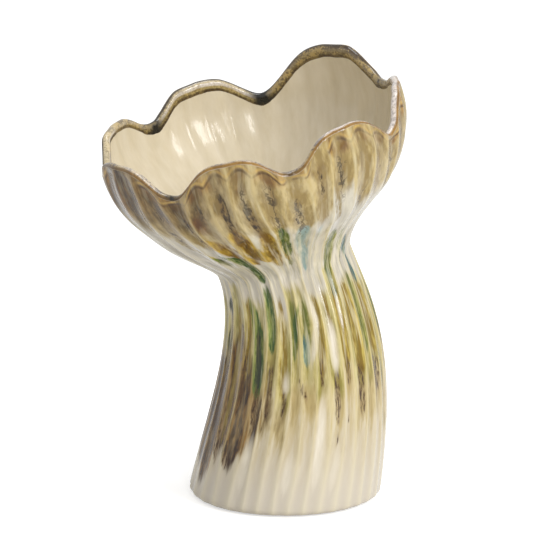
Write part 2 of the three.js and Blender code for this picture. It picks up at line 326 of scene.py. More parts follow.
# Glaze runs, laid down the wall, by glaze: half a run's width in lobes, its strength, and where it
# flows, as places in lobes and stations from its top to its tip
glazeRuns = {
    "amber": [
        (0.11, 1.0, (6.06, 1.66), (6.22, 1.48), (6.44, 1.24)),
        (0.11, 1.0, (6.36, 1.66), (6.46, 1.45), (6.62, 1.24)),
        (0.09, 0.9, (6.66, 1.6), (6.72, 1.36), (6.72, 1.16)),
    ],
    "warm": [
        (0.05, 0.9, (6.2, 1.56), (6.31, 1.42), (6.43, 1.28)),
        (0.05, 0.9, (6.45, 1.56), (6.53, 1.42), (6.6, 1.28)), (0.05, 0.5, (6.7, 1.36), (6.7, 1.2)),
        (0.07, 0.6, (6.12, 1.86), (6.17, 1.64)), (0.07, 0.7, (5.42, 1.98), (5.44, 1.84)),
        (0.06, 0.6, (5.56, 1.98), (5.6, 1.86)), (0.07, 0.5, (6.56, 1.95), (6.6, 1.84)),
        (0.07, 0.5, (7.2, 1.97), (7.22, 1.86)),
    ],
    "ochre": [
        (0.075, 0.95, (6.74, 1.64), (6.81, 1.42), (6.88, 1.22)),
        (0.06, 0.5, (7.33, 1.72), (7.35, 1.5), (7.33, 1.34)),
        (0.05, 0.6, (5.78, 1.66), (5.85, 1.52), (6.0, 1.36)),
        (0.085, 0.9, (5.93, 0.98), (5.83, 0.84), (5.78, 0.6)),
        (0.075, 0.6, (6.46, 0.97), (6.36, 0.82), (6.33, 0.5)),
        (0.05, 0.7, (5.68, 0.94), (5.62, 0.7), (5.6, 0.46), (5.61, 0.28)),
        (0.085, 1.0, (7.08, 0.94), (7.07, 0.78), (7.03, 0.6)),
        (0.03, 0.8, (7.34, 0.95), (7.3, 0.8), (7.28, 0.62)),
        (0.075, 1.0, (7.48, 0.96), (7.43, 0.76), (7.4, 0.58)),
        (0.06, 0.5, (7.6, 0.92), (7.56, 0.72), (7.52, 0.55)),
        (0.09, 1.0, (7.74, 0.94), (7.71, 0.78), (7.69, 0.56)),
        (0.09, 0.85, (8.06, 0.92), (8.08, 0.76), (8.1, 0.6)),
    ],
    "green": [
        (0.075, 0.9, (6.83, 1.62), (6.9, 1.45), (6.97, 1.26)),
        (0.075, 1.0, (6.02, 1.44), (6.2, 1.34), (6.38, 1.22), (6.3, 1.13), (6.2, 1.02)),
        (0.06, 0.85, (5.92, 1.44), (6.0, 1.36), (6.12, 1.26)),
        (0.085, 1.0, (5.98, 0.98), (5.94, 0.78), (5.93, 0.52)),
        (0.08, 1.0, (6.24, 1.02), (6.2, 0.9), (6.19, 0.72)),
        (0.05, 0.8, (6.82, 0.93), (6.7, 0.84), (6.62, 0.74)),
    ],
    "moss": [
        (0.06, 0.6, (6.93, 1.28), (6.9, 1.14)),
        (0.085, 1.0, (7.47, 1.38), (7.51, 1.22), (7.55, 1.08), (7.52, 0.95)),
        (0.07, 0.55, (7.7, 1.36), (7.8, 1.2), (7.9, 1.0)),
        (0.085, 0.85, (6.72, 0.95), (6.6, 0.82), (6.53, 0.68)),
        (0.06, 0.7, (6.98, 0.96), (6.88, 0.84), (6.8, 0.7)),
        (0.06, 0.9, (7.74, 0.86), (7.7, 0.72), (7.7, 0.6)),
        (0.08, 0.75, (7.93, 0.98), (7.91, 0.82), (7.89, 0.62)), (0.08, 0.5, (8.04, 0.94), (8.06, 0.7)),
        (0.09, 0.5, (5.4, 1.72), (5.48, 1.54)),
    ],
    "teal": [
        (0.075, 0.8, (7.02, 1.6), (7.08, 1.42), (7.12, 1.26), (7.12, 1.05)),
        (0.05, 0.5, (7.2, 1.52), (7.28, 1.34)),
    ],
    "bluegreen": [
        (0.06, 0.8, (7.84, 1.24), (7.94, 1.1), (8.06, 0.98), (8.14, 0.88)),
        (0.05, 0.8, (7.47, 1.02), (7.5, 0.86)), (0.05, 0.9, (6.78, 0.8), (6.76, 0.74), (6.74, 0.64)),
    ],
    # Pale cream runs; some on the front of the stem also stand in for painted highlights of the window light
    # in the flutes
    "cream": [
        (0.04, 0.7, (5.7, 1.52), (5.85, 1.36), (6.1, 1.2)),
        (0.06, 0.7, (6.5, 1.3), (6.62, 1.14), (6.6, 1.0)),
        (0.05, 0.7, (7.3, 1.5), (7.32, 1.3), (7.33, 1.05)),
        (0.07, 0.8, (7.66, 1.24), (7.72, 1.1), (7.66, 0.98)),
        (0.06, 0.9, (6.98, 0.98), (6.95, 0.82), (6.9, 0.66)),
        (0.06, 1.0, (7.27, 0.82), (7.23, 0.72), (7.2, 0.6)), (0.03, 0.9, (7.5, 0.9), (7.46, 0.76)),
        (0.045, 1.0, (5.98, 0.32), (5.98, 0.2)), (0.06, 0.7, (6.02, 0.36), (6.02, 0.24), (6.02, 0.1)),
        (0.05, 0.8, (6.46, 0.64), (6.45, 0.54)), (0.05, 0.7, (6.62, 0.28), (6.62, 0.1)),
        (0.06, 0.9, (6.98, 0.52), (6.98, 0.34), (6.98, 0.12)), (0.05, 0.6, (7.22, 0.3), (7.22, 0.1)),
    ],
    "dark": [
        (0.045, 0.8, (5.95, 0.84), (5.93, 0.7), (5.92, 0.56)),
        (0.09, 0.85, (5.6, 0.98), (5.52, 0.92), (5.48, 0.86)), (0.07, 0.7, (5.36, 0.82), (5.32, 0.7)),
        (0.03, 0.6, (7.87, 0.34), (7.87, 0.3)), (0.05, 0.6, (8.15, 0.36), (8.12, 0.31)),
    ],
    "brown": [
        (0.105, 0.8, (5.36, 0.76), (5.32, 0.55), (5.3, 0.3), (5.32, 0.14)),
        (0.064, 1.0, (5.5, 0.92), (5.5, 0.7), (5.49, 0.45), (5.51, 0.2)),
        (0.064, 0.95, (5.75, 0.86), (5.74, 0.6), (5.7, 0.35), (5.72, 0.18)),
        (0.045, 0.7, (5.93, 0.6), (5.92, 0.48), (5.93, 0.38)),
        (0.045, 0.65, (6.19, 0.7), (6.19, 0.55), (6.19, 0.42)),
        (0.038, 0.55, (6.4, 0.62), (6.4, 0.5), (6.42, 0.42)), (0.038, 0.7, (6.7, 0.62), (6.7, 0.5)),
        (0.03, 0.85, (6.98, 0.7), (6.96, 0.62), (6.96, 0.54)), (0.022, 0.9, (7.03, 0.64), (7.02, 0.55)),
        (0.038, 1.0, (7.2, 0.62), (7.15, 0.5), (7.17, 0.38)), (0.019, 0.8, (7.16, 0.36), (7.17, 0.29)),
        (0.038, 0.9, (7.45, 0.66), (7.42, 0.52)), (0.019, 0.8, (7.38, 0.44), (7.38, 0.37)),
        (0.056, 0.7, (7.6, 0.64), (7.62, 0.5), (7.66, 0.38)),
        (0.045, 0.9, (7.93, 0.62), (7.92, 0.55), (7.91, 0.46)), (0.056, 0.7, (8.07, 0.62), (8.05, 0.45)),
        (0.075, 0.6, (5.22, 1.98), (5.3, 1.68)),
    ],
    "vein": [
        (0.022, 0.9, (6.2, 1.9), (6.22, 1.78)), (0.03, 1.0, (6.38, 1.9), (6.4, 1.78), (6.41, 1.6)),
        (0.022, 0.8, (6.33, 1.84), (6.36, 1.7)), (0.03, 1.0, (6.6, 1.86), (6.62, 1.74), (6.64, 1.56)),
        (0.022, 0.8, (6.82, 1.92), (6.83, 1.76)), (0.03, 0.9, (6.99, 1.84), (7.0, 1.7), (7.02, 1.58)),
        (0.022, 0.7, (7.16, 1.94), (7.18, 1.72)), (0.022, 0.6, (7.42, 1.9), (7.42, 1.72)),
        (0.03, 0.6, (5.98, 1.9), (6.0, 1.7)), (0.03, 0.5, (5.78, 1.92), (5.82, 1.76)),
        (0.04, 0.8, (5.4, 1.98), (5.44, 1.7)), (0.04, 0.8, (5.62, 1.98), (5.66, 1.74)),
    ],
}


# Flutes that the front doesn't show carry runs of the same kinds, drawn from a fixed seed. Half
# widths are in lobes, and bowlShare is how many of the flutes carry a run on the bowl too.
hiddenRuns = {"seed": 11, "flutes": 16, "firstPlace": 1.4, "spacing": 0.2, "stemWidth": 0.08,
              "brownWidth": 0.053, "creamWidth": 0.05, "bowlWidth": 0.075, "bowlShare": 0.7}


def addHiddenRuns():
    draw = np.random.default_rng(hiddenRuns["seed"])
    for number in range(hiddenRuns["flutes"]):
        place = hiddenRuns["firstPlace"] + hiddenRuns["spacing"] * number
        top = draw.uniform(0.88, 1.0)
        kind = draw.choice(["ochre", "ochre", "moss", "green", "teal"])
        glazeRuns[kind].append((hiddenRuns["stemWidth"], draw.uniform(0.7, 1.0), (place + 0.04, top),
                                (place, top - 0.15), (place, top - draw.uniform(0.25, 0.4))))
        start = draw.uniform(0.6, 0.75)
        glazeRuns["brown"].append((hiddenRuns["brownWidth"], draw.uniform(0.5, 0.95), (place, start),
                                   (place, start - 0.12), (place, start - draw.uniform(0.18, 0.45))))
        beside = place + 0.1
        glazeRuns["cream"].append((hiddenRuns["creamWidth"], draw.uniform(0.3, 0.9), (beside, start - 0.1),
                                   (beside, start - draw.uniform(0.3, 0.5))))
        if draw.uniform() < hiddenRuns["bowlShare"]:
            high = draw.uniform(1.4, 1.6)
            kind = draw.choice(["ochre", "moss", "green", "teal"])
            glazeRuns[kind].append((hiddenRuns["bowlWidth"], draw.uniform(0.6, 1.0), (place, high),
                                    (place + 0.08, high - 0.15), (beside, high - 0.3)))


# Round the vase, as place in lobes and value: how strongly the brown wash stains the lower stem, how
# low it reaches, how dark the band under the rim is, and how low that khaki band comes down. The
# band's darkness is partly its umber glaze and partly painted shade on the lobes away from the key light.
brownWash = [(0, 0.1), (0.6, 0.15), (1, 0.3), (2, 0.5), (3, 0.3), (4, 0.6), (4.8, 0.8), (5.2, 0.95),
             (5.85, 0.95), (6.05, 0.55), (6.3, 0.4), (6.6, 0.2), (7, 0.1)]
washEdge = [(0, 0.36), (0.8, 0.34), (1.6, 0.28), (2.4, 0.36), (3.4, 0.3), (4.4, 0.26), (5.2, 0.17),
            (5.8, 0.19), (6, 0.28), (6.4, 0.36), (7, 0.36)]
umberAndShadeShare = [(0, 0), (1, 0.1), (2, 0.5), (4, 0.8), (5, 1.0), (5.6, 1.0), (6, 0.75), (6.3, 0.4),
              (6.6, 0.1), (7, 0)]
khakiEdge = [(0, 1.56), (0.5, 1.6), (1.5, 1.54), (2.5, 1.55), (3.5, 1.48), (4.6, 1.58), (5.4, 1.62),
             (5.9, 1.6), (6.2, 1.5), (6.8, 1.5), (7, 1.56)]
# Where the lip is pale, partly thin glaze over the clay and partly a painted highlight of the overhead
# light on its rounded top, where its outer edge is nearly black and not ochre, and the dips where its glaze
# pools
lipPaleAndHighlight = [(0, 0.5), (0.18, 0.1), (0.35, 1.0), (0.9, 0.9), (1.2, 1.0), (1.8, 0.9), (2, 0.2), (2.3, 0.1),
           (2.9, 0.1), (3.1, 0.9), (3.5, 0.9), (3.9, 0.5), (4.1, 0.2), (4.45, 0.35), (4.7, 0.8), (4.9, 0.9),
           (5.1, 0.2), (5.5, 0.1), (5.65, 0.7), (6.1, 0.15), (6.6, 0.4), (7, 0.4)]
lipDark = [(0, 0.2), (1, 0.2), (1.6, 0.25), (1.95, 0.9), (2.5, 1.0), (4.9, 1.0), (5.5, 0.6), (5.9, 0.3),
           (6.5, 0.15), (7, 0.2)]
lipPools = [(2, 0.6), (3, 1.0), (4, 1.0), (5, 0.7), (6, 1.0), (0, 0.6)]
# Where a glaze begins and where it is full, in stations. Sand, wash, khaki and crackle begin that far
# above their own edge. A glaze's top is where it starts to thin out and where it is gone.
fades = {
    "sand": (-0.08, 0.24), "sandTop": (0.66, 0.95), "tint": (0.03, 0.4), "tintTop": (0.6, 0.9),
    "wash": (-0.08, 0.14), "washTop": (0.58, 0.86), "olive": (0.42, 0.66), "oliveTop": (0.86, 1.02),
    "mist": (0.86, 1.04), "khaki": (-0.1, 0.22), "umber": (1.6, 1.85), "shoulder": (1.86, 1.98),
    "crackle": (-0.02, 0.1), "crackleTop": (1.84, 1.96), "ridge": (0.08, 0.42), "narrowRidge": (1.3, 1.6),
    "flowing": (0.5, 0.7), "flowingTop": (1.35, 1.55),
}
# How a run fades at its tip and its top, in stations, where its core ends and its edge is, in half
# widths, how much it narrows at both ends, and how far it is drawn to the nearest hollow
runShape = {"tip": 0.04, "top": 0.08, "core": 0.35, "edge": 1.45, "narrowing": 0.65, "toHollow": 0.6}
smearShare = 0.6  # how much of a brown run or vein stains the glaze round it
poolWidth = 0.09  # in lobes


def roundTheVase(place, table):
    return np.interp(place, [row[0] for row in table], [row[1] for row in table])


def fade(name, value):
    return smoothStep(*fades[name], value)


# How far from a place round the vase, the short way, in lobes
def lobesFrom(place, middle):
    return np.abs(np.mod(place - middle + lobeTotal / 2, lobeTotal) - lobeTotal / 2)


# A run keeps to the hollow of a flute for most of its way
def runMask(phase, station, halfWidth, path):
    stations = np.array([point[1] for point in path][::-1])
    centres = np.array([point[0] for point in path][::-1]) - sway(stations)
    centres += runShape["toHollow"] * (np.round(centres * flutesPerLobe) / flutesPerLobe - centres)
    middle = np.interp(station, stations, centres)
    along = np.clip((station - stations[0]) / (stations[-1] - stations[0]), 0, 1)
    taper = 1 - runShape["narrowing"] * (2 * along - 1) ** 4
    across = lobesFrom(phase, middle) / (halfWidth * taper)
    ends = smoothStep(stations[0] - runShape["tip"], stations[0] + runShape["tip"], station)
    ends *= 1 - smoothStep(stations[-1] - runShape["top"], stations[-1] + runShape["tip"], station)
    return (1 - smoothStep(runShape["core"], runShape["edge"], across)) * ends


def paintMasks(phase, around, station, turn):
    masks = {name: np.zeros(len(around)) for name in [*glazeRuns, "smear"]}
    for kind, runs in glazeRuns.items():
        for halfWidth, strength, *path in runs:
            mask = strength * runMask(phase, station, halfWidth, path)
            masks[kind] = np.maximum(masks[kind], mask)
            if kind in ("brown", "vein"):
                masks["smear"] = np.maximum(masks["smear"], smearShare * mask)
    place = np.mod(around, lobeTotal)
    hollow = np.abs(np.cos(np.pi * flutesPerLobe * phase))  # 0 on a ridge, 1 in the hollow of a flute
    number = np.floor(phase * flutesPerLobe + 0.5)
    # The glaze in each flute stops a little higher or lower than in the next, in stations
    drip = 0.05 * np.sin(number * 2.4) + 0.035 * np.sin(number * 5.1 + 1)
    poured = station + drip
    low = station + 1.1 * drip + 0.05 * hollow - roundTheVase(place, washEdge)
    band = station + 1.2 * drip + 0.1 * hollow - roundTheVase(place, khakiEdge)
    masks["sand"] = fade("sand", low) * (1 - fade("sandTop", poured))
    masks["tint"] = fade("tint", station) * (1 - fade("tintTop", station))
    masks["wash"] = roundTheVase(place, brownWash) * fade("wash", low) * (1 - fade("washTop", poured))
    masks["olive"] = fade("olive", poured) * (1 - fade("oliveTop", poured))
    masks["mist"] = fade("mist", poured)
    masks["khaki"] = fade("khaki", band)
    # Painted shade in part: the umber band is darkest on the lobes turned away from the key light
    masks["umber"] = roundTheVase(place, umberAndShadeShare) * fade("umber", station)
    inHollow = smoothStep(0.72, 0.98, hollow)
    masks["crackle"] = inHollow * fade("crackle", band) * (1 - fade("crackleTop", station))
    # Ridges are worn clean of glaze, some more than others, and less far across near the rim
    bright = 0.68 + 0.32 * np.sin(2.7 * np.floor(phase * flutesPerLobe) + 4 * station)
    onRidge = 1 - smoothStep(0, 0.34 - 0.14 * fade("narrowRidge", station), hollow)
    masks["ridge"] = bright * onRidge * fade("ridge", station) * (1 - 0.8 * masks["umber"])
    masks["flowing"] = fade("flowing", station) * (1 - 0.6 * fade("flowingTop", station))
    masks["flowing"] *= 1 - 0.7 * masks["wash"]
    masks["shoulder"] = fade("shoulder", station)
    outside = turn < 0.02
    for mask in masks.values():
        mask *= outside
    masks["pale"] = roundTheVase(place, lipPaleAndHighlight)
    masks["rimDark"] = roundTheVase(place, lipDark)
    pools = [strength * np.exp(-(lobesFrom(place, middle) / poolWidth) ** 2) for middle, strength in lipPools]
    masks["pool"] = np.max(pools, axis=0)
    backLobe = smoothStep(1.9, 2.3, place) * (1 - smoothStep(3.9, 4.6, place))
    masks["reach"] = 1.2 + 0.26 * backLobe  # how far the lip's glaze runs inside, on the scale of turn
    return masks


def buildWallMesh():
    addUnderside()
    addFootEdge()
    addOuterWall()
    addLip()
    addInnerWall()
    points = np.concatenate([row["point"] for row in rows])
    flutes = np.concatenate([row["flute"] for row in rows])
    centres = np.array([[0, 0, vase["recessDepth"]], [0, 0, vase["floorThickness"]]], float)
    points = np.concatenate([points, centres]) / 1000 + (footX, footY, clayFoot)
    flutes = np.concatenate([flutes, np.zeros((2, 3))]) / 1000
    atCentres = {"around": [0, 0], "station": [0, 0], "turn": [0, 9], "glazed": [0, 1]}
    values = {name: np.concatenate([row[name] for row in rows] + [pair]) for name, pair in atCentres.items()}
    count = len(rows)
    index = np.arange(count * columns).reshape(count, columns)
    beside = np.roll(index, -1, axis=1)
    quads = np.stack([index[:-1], beside[:-1], beside[1:], index[1:]], -1).reshape(-1, 4)
    bottom, floor = count * columns, count * columns + 1
    faces = quads.tolist()
    faces += [[bottom, int(b), int(a)] for a, b in zip(index[0], beside[0])]
    faces += [[floor, int(a), int(b)] for a, b in zip(index[-1], beside[-1])]
    mesh = bpy.data.meshes.new("stoneware_wall")
    mesh.from_pydata(points.tolist(), [], faces)
    nominal = np.concatenate([np.tile(ringAngle, count), [0, 0]])
    # Where a point lies if the wall is a plain tube, in mm
    tube = vase["tubeRadius"] * np.stack([np.cos(nominal), np.sin(nominal), 0 * nominal], -1)
    tube[:, 2] = vase["stemHeight"] * values["station"]
    values["phase"] = np.concatenate([np.tile(ringAround, count), [0, 0]])
    values.update(paintMasks(values["phase"], values["around"], values["station"], values["turn"]))
    for name, data in values.items():
        mesh.attributes.new(name, "FLOAT", "POINT").data.foreach_set("value", np.asarray(data, np.float32))
    for name, data in (("flute", flutes), ("wallCoord", tube)):
        attribute = mesh.attributes.new(name, "FLOAT_VECTOR", "POINT")
        attribute.data.foreach_set("vector", data.astype(np.float32).ravel())
    return mesh


addHiddenRuns()
wallMesh = buildWallMesh()
print("vase: wall with", len(wallMesh.polygons), "faces")


# Reactive-glazed stoneware: a poured glassy glaze over cast clay, fired once. It pools in the flutes,
# thins on the ridges, runs ochre, green and teal, crazes where it is thick, and has a hard wet shine.
# The texture values are where a texture counts as low and as high, and the fray values are what a mask
# and its texture add up to where a frayed glaze starts and where it is full.
glaze = {
    "thinCream": "#DAD0B8", "deepCream": "#CEC4B3", "inside": "#DFD4BD", "insideDeep": "#D0C3A6",
    # The lip's pale tone is partly painted highlight, and its two shine tones are painted highlight
    "lipOlive": "#AE9458", "lipBrown": "#45331E", "lipPaleAndHighlight": "#E4DCDA", "lipCream": "#D6C8A8",
    "lipGold": "#CDBB84", "lipBronze": "#8C7644", "lipPaintedHighlight": "#EFE9E4", "lipPaintedHighlightDeep": "#C9BEB4",
    "lipLine": "#5A4527", "lipOchre": "#C09142", "lipUmber": "#5A3C1C", "lipDark": "#2E241B",
    "pool": "#2C2A22", "poolDeep": "#0F100D", "roughness": 0.1, "insideRoughness": 0.17, "ior": 1.45,
    "textureLow": 0.32, "textureHigh": 0.68, "frayStart": 0.72, "frayFull": 1.28,
}
# How wide a grain of each texture is across the wall in mm, how many times longer it is up the wall,
# its detail, and a shift that keeps the textures from lining up
glazeGrains = {
    "streaks": (1.3, 8, 4, 0), "wideStreaks": (4.0, 7, 3, 7), "speckles": (0.85, 7, 4, 13),
    "clouds": (14, 2, 2, 21), "patches": (7, 5, 3, 33), "threads": (2.2, 16, 2, 41),
    "shades": (2.0, 16, 2, 53),
}
# Glazes over the cream, in the order they were poured: the mask that holds each, the texture that
# breaks it up, how much of it is left where that texture is low and where it is high, the texture that
# sets its depth, and its thin and deep tones
glazeLayers = [
    ("mist", "wideStreaks", 0.75, 1.0, "depth", "#D4CDBA", "#B9B2A2"),
    ("tint", "wideStreaks", 0.5, 1.0, "depth", "#D2C4A0", "#C2B189"),
    ("sand", "wideStreaks", 0.6, 1.0, "depth", "#D0BF8C", "#B39E68"),
    ("olive", "wideStreaks", 0.6, 1.0, "depth", "#D0C27A", "#948840"),
    ("wash", "wideStreaks", 0.75, 1.1, "depth", "#906618", "#382004"),
    ("khaki", "wideStreaks", 0.8, 1.1, "depth", "#C5AE72", "#927B46"),
    # Umber: partly a dark brown glaze, partly painted shade on the side away from the key light
    ("umber", "wideStreaks", 0.7, 1.15, "depth", "#7C5616", "#3C2404"),
    ("warm", "patches", 0.6, 1.1, "depth", "#8E6224", "#5C3A14"),
    ("shoulder", "patches", -0.5, 1.0, "depth", "#A67C38", "#6A481E"),
    ("moss", "streaks", 0.75, 1.1, "depth", "#A29E4A", "#5E6422"),
    ("ochre", "streaks", 0.8, 1.1, "depth", "#CBB353", "#826A1C"),
    ("amber", "wideStreaks", 0.9, 1.1, "depth", "#D0AC40", "#74541A"),
    ("green", "streaks", 0.8, 1.1, "depth", "#8A9444", "#304C18"),
    ("teal", "wideStreaks", 0.75, 1.1, "depth", "#BAC4B8", "#889E98"),
    ("smear", "wideStreaks", 0.4, 1.0, "depth", "#98783E", "#68481E"),
    ("brown", "speckles", -0.4, 1.3, "speckles", "#6C4A1E", "#2A1A0A"),
    ("vein", "speckles", -0.5, 1.5, "streaks", "#54401F", "#1E140C"),
    ("bluegreen", "streaks", 0.6, 1.1, "depth", "#86A698", "#2F5A58"),
    ("dark", "streaks", 0.7, 1.2, "streaks", "#3C4226", "#1E2414"),
    # Pale cream runs, partly painted highlights of the window light in the flutes
    ("cream", "wideStreaks", 0.6, 1.1, "streaks", "#E9E0CE", "#DCD2BC"),
    ("flowing", "threads", -0.8, 0.5, "streaks", "#E6DDC4", "#D8CC9C"),
    ("flowing", "shades", -0.8, 0.35, "streaks", "#7D7140", "#6A5A34"),
    ("crackle", "veins", 0.0, 0.75, "streaks", "#5A4A2A", "#2E2618"),
    ("ridge", "clouds", 0.4, 1.0, "wideStreaks", "#B89E58", "#E2D8B4"),
]
# Masks that fade evenly; the others end in streaks
softMasks = ("cream", "flowing", "crackle", "ridge", "umber", "smear", "tint")
# Crazing: a net of cells about 2.4 mm wide and 28 mm long, bent by a slow noise
crazing = {"bendScale": 0.16, "bend": (3, 3, 20), "net": (0.42, 0.42, 0.035), "threadWidth": 0.1}
# Each flute ends in an arch just under the lip, edged in dark brown and gold: the station where the
# edge starts, what is left of it where the texture is low, and its tones. The gold edge is partly the
# glaze's own colour and partly a painted highlight on the flute's rounded top. An arch hangs lower in a
# hollow.
lipArches = ((1.93, -0.2, "#543A1C", "#32220F"), (1.95, -0.1, "#D8B868", "#A88440"))
archHang = 0.035
# Strips over the lip: where each starts, is full, starts to fade and is gone, on the scale of turn.
# The gold strip and the two lines are glaze; the pale strip is partly painted highlight, and the shine
# strip is a painted highlight. The two lines follow a shifted scale, so that they keep to the band's
# inner and outer edges.
lipStrips = {
    "pale": (0.15, 0.35, 0.95, 1.15), "gold": (0.72, 0.95, 1.3, 1.5), "shine": (0.8, 0.9, 1.04, 1.14),
    "innerLine": (-0.14, -0.02, 0.09, 0.13), "outerLine": (-1.65, -1.56, -1.44, -1.26),
}


# Lays one glaze over the colour below it, where all its masks meet. A frayed glaze ends in streaks
# where its mask fades.
def layGlaze(add, colour, masks, texture, least, most, depth, thin, deep, frayed=False):
    mask, *others = masks
    for other in others:
        mask = add("ShaderNodeMath", {0: mask, 1: other}, operation="MULTIPLY")
    broken = add(
        "ShaderNodeMapRange",
        {"Value": texture, 1: glaze["textureLow"], 2: glaze["textureHigh"], 3: least, 4: most},
        interpolation_type="SMOOTHSTEP")
    if frayed:
        summed = add("ShaderNodeMath", {0: mask, 1: texture}, operation="ADD")
        mask = add(
            "ShaderNodeMapRange", {"Value": summed, 1: glaze["frayStart"], 2: glaze["frayFull"]},
            interpolation_type="SMOOTHSTEP")
    strength = add("ShaderNodeMath", {0: mask, 1: broken}, operation="MULTIPLY", use_clamp=True)
    pooled = add("ShaderNodeMapRange", {"Value": depth, 1: 0.25, 2: 0.75})
    tone = add("ShaderNodeMix", {0: pooled, 6: hexColour(thin), 7: hexColour(deep)}, 2, data_type="RGBA")
    return add("ShaderNodeMix", {0: strength, 6: colour, 7: tone}, 2, data_type="RGBA")


# Where a place on the way over the lip lies in a strip: full between the inner two of its four places
def lipStrip(add, place, strip):
    start, full, fading, end = strip
    rise = add("ShaderNodeMapRange", {"Value": place, 1: start, 2: full}, interpolation_type="SMOOTHSTEP")
    fall = add(
        "ShaderNodeMapRange", {"Value": place, 1: fading, 2: end, 3: 1.0, 4: 0.0},
        interpolation_type="SMOOTHSTEP")
    return add("ShaderNodeMath", {0: rise, 1: fall}, operation="MULTIPLY")


def makeTextures(add, wall, groove):
    textures = {}
    for name, (width, stretch, detail, shift) in glazeGrains.items():
        placed = add(
            "ShaderNodeMapping",
            {"Vector": wall, "Location": (shift, shift, shift), "Scale": (1, 1, 1 / stretch)})
        textures[name] = add(
            "ShaderNodeTexNoise", {"Vector": placed, "Scale": 1 / width, "Detail": detail, "Roughness": 0.6})
    # Glaze is deep in the hollow of a flute and where a streak ran down
    depth = -0.95
    for field, share in ((textures["streaks"], 1.3), (textures["wideStreaks"], 1.3), (groove, 0.45)):
        depth = add("ShaderNodeMath", {0: field, 1: share, 2: depth}, operation="MULTIPLY_ADD")
    textures["depth"] = depth
    bent = add("ShaderNodeTexNoise", {"Vector": wall, "Scale": crazing["bendScale"], "Detail": 2.0}, "Color")
    warped = add("ShaderNodeVectorMath", {0: bent, 1: crazing["bend"], 2: wall}, operation="MULTIPLY_ADD")
    netted = add("ShaderNodeMapping", {"Vector": warped, "Scale": crazing["net"]})
    cells = add(
        "ShaderNodeTexVoronoi", {"Vector": netted, "Scale": 1.0, "Randomness": 1.0},
        feature="DISTANCE_TO_EDGE")
    thread = add("ShaderNodeMapRange", {"Value": cells, 1: 0.0, 2: crazing["threadWidth"], 3: 1.0, 4: 0.0})
    where = add("ShaderNodeMapRange", {"Value": textures["patches"], 1: 0.42, 2: 0.56})
    textures["veins"] = add("ShaderNodeMath", {0: thread, 1: where}, operation="MULTIPLY")
    return textures


